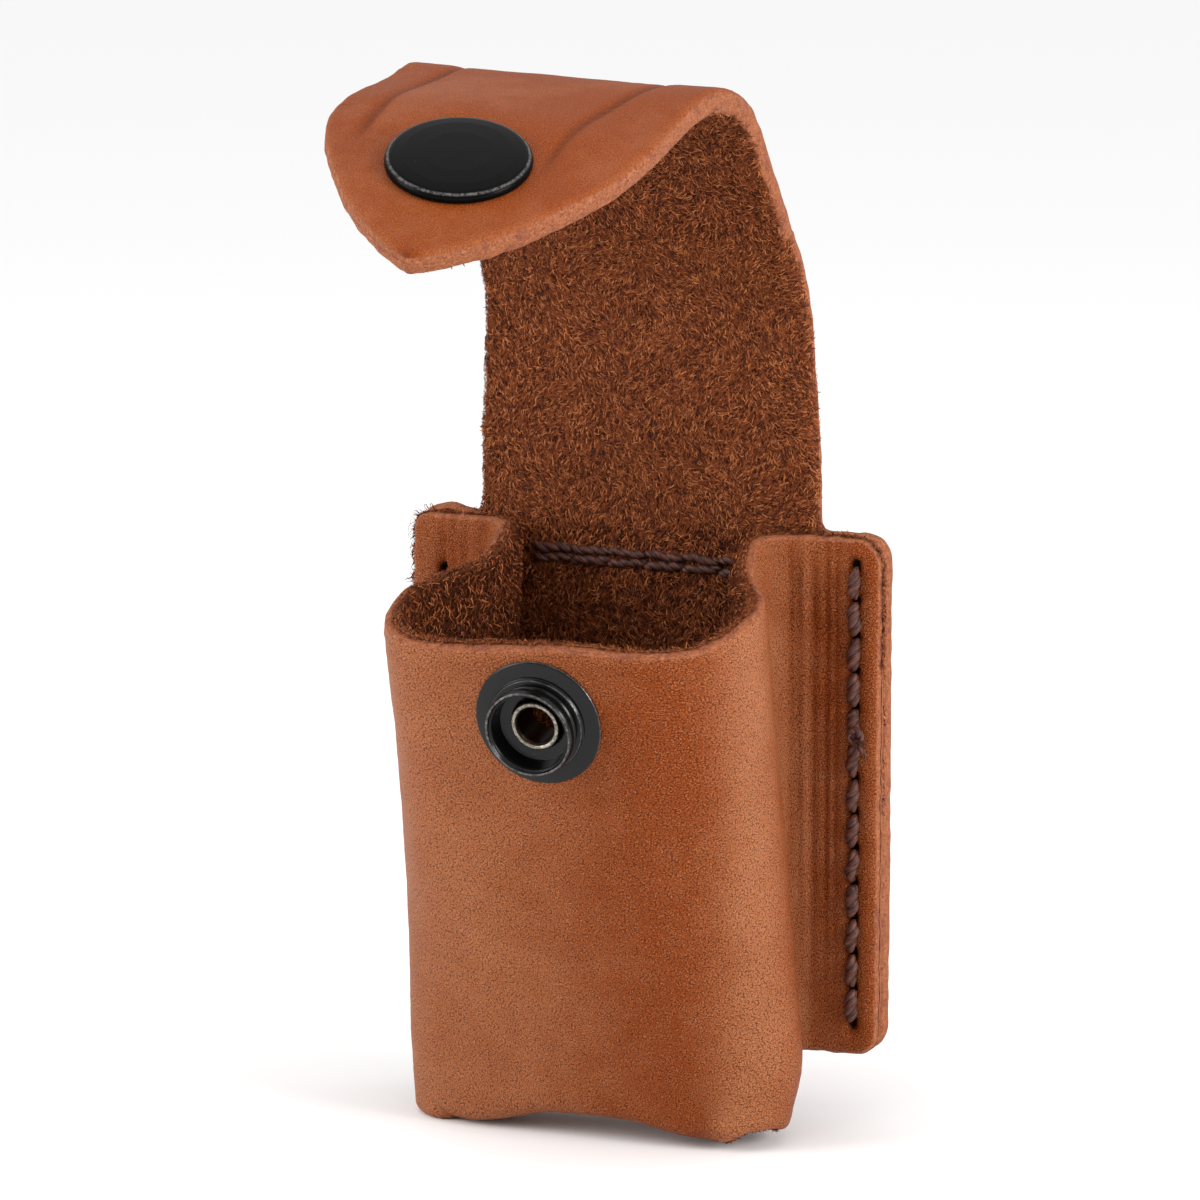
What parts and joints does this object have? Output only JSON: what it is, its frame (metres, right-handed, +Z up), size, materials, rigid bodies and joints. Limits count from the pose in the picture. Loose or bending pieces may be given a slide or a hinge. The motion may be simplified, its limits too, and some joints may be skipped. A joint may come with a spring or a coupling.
{
  "type": "moulded leather belt pouch",
  "caption": "Small wet-moulded leather belt pouch with a long snap flap, stitched side flanges, a ring snap and a belt loop on the back.",
  "frame": {"origin": "bottom centre of the bounding box: the lower corners of the pouch stand on Z = 0", "axes": "+Z up along the back panel, -Y towards the front of the pouch, +X to the right seen from the front"},
  "size_m": [0.0552, 0.0788, 0.1171],
  "materials": {
    "leather": "smooth grain outside, suede inside",
    "thread": "waxed twisted thread",
    "snap_black": "glossy black lacquer, worn to metal on the edges",
    "spring_wire": "bright",
    "eyelet_metal": "dull tinned"
  },
  "bodies": {
    "pouch": {"front_shell": "leather", "back_panel": "leather", "belt_loop": "leather", "side_stitches_left": "thread", "side_stitches_right": "thread", "loop_stitches_upper": "thread", "loop_stitches_lower": "thread", "snap_stud": "snap_black", "stud_eyelet": "eyelet_metal"},
    "flap_middle": {"flap_mid": "leather"},
    "flap_top": {"flap_roof": "leather"},
    "flap_end": {"flap_tip": "leather", "snap_cap": "snap_black", "snap_socket": "snap_black", "snap_ring_spring": "spring_wire"}
  },
  "joints": [
    {"name": "back_fold", "type": "hinge", "parent": "pouch", "child": "flap_middle", "pos_m": [0, 0.02817, 0.08292], "axis": [1, 0, 0], "range_deg": [-20, 62], "stiffness_Nm_per_rad": 0.3},
    {"name": "front_fold", "type": "hinge", "parent": "flap_middle", "child": "flap_top", "pos_m": [0, 0.00838, 0.11405], "axis": [1, 0, 0], "range_deg": [-10, 17], "stiffness_Nm_per_rad": 0.3},
    {"name": "flap_twist", "type": "hinge", "parent": "flap_top", "child": "flap_end", "pos_m": [0, -0.02402, 0.10807], "axis": [0, -0.8988, -0.4384], "range_deg": [-5.4, 9.1]}
  ],
  "couplings": [
    {"joint": "flap_twist", "follows": "front_fold", "ratio": 0.52941}
  ]
}
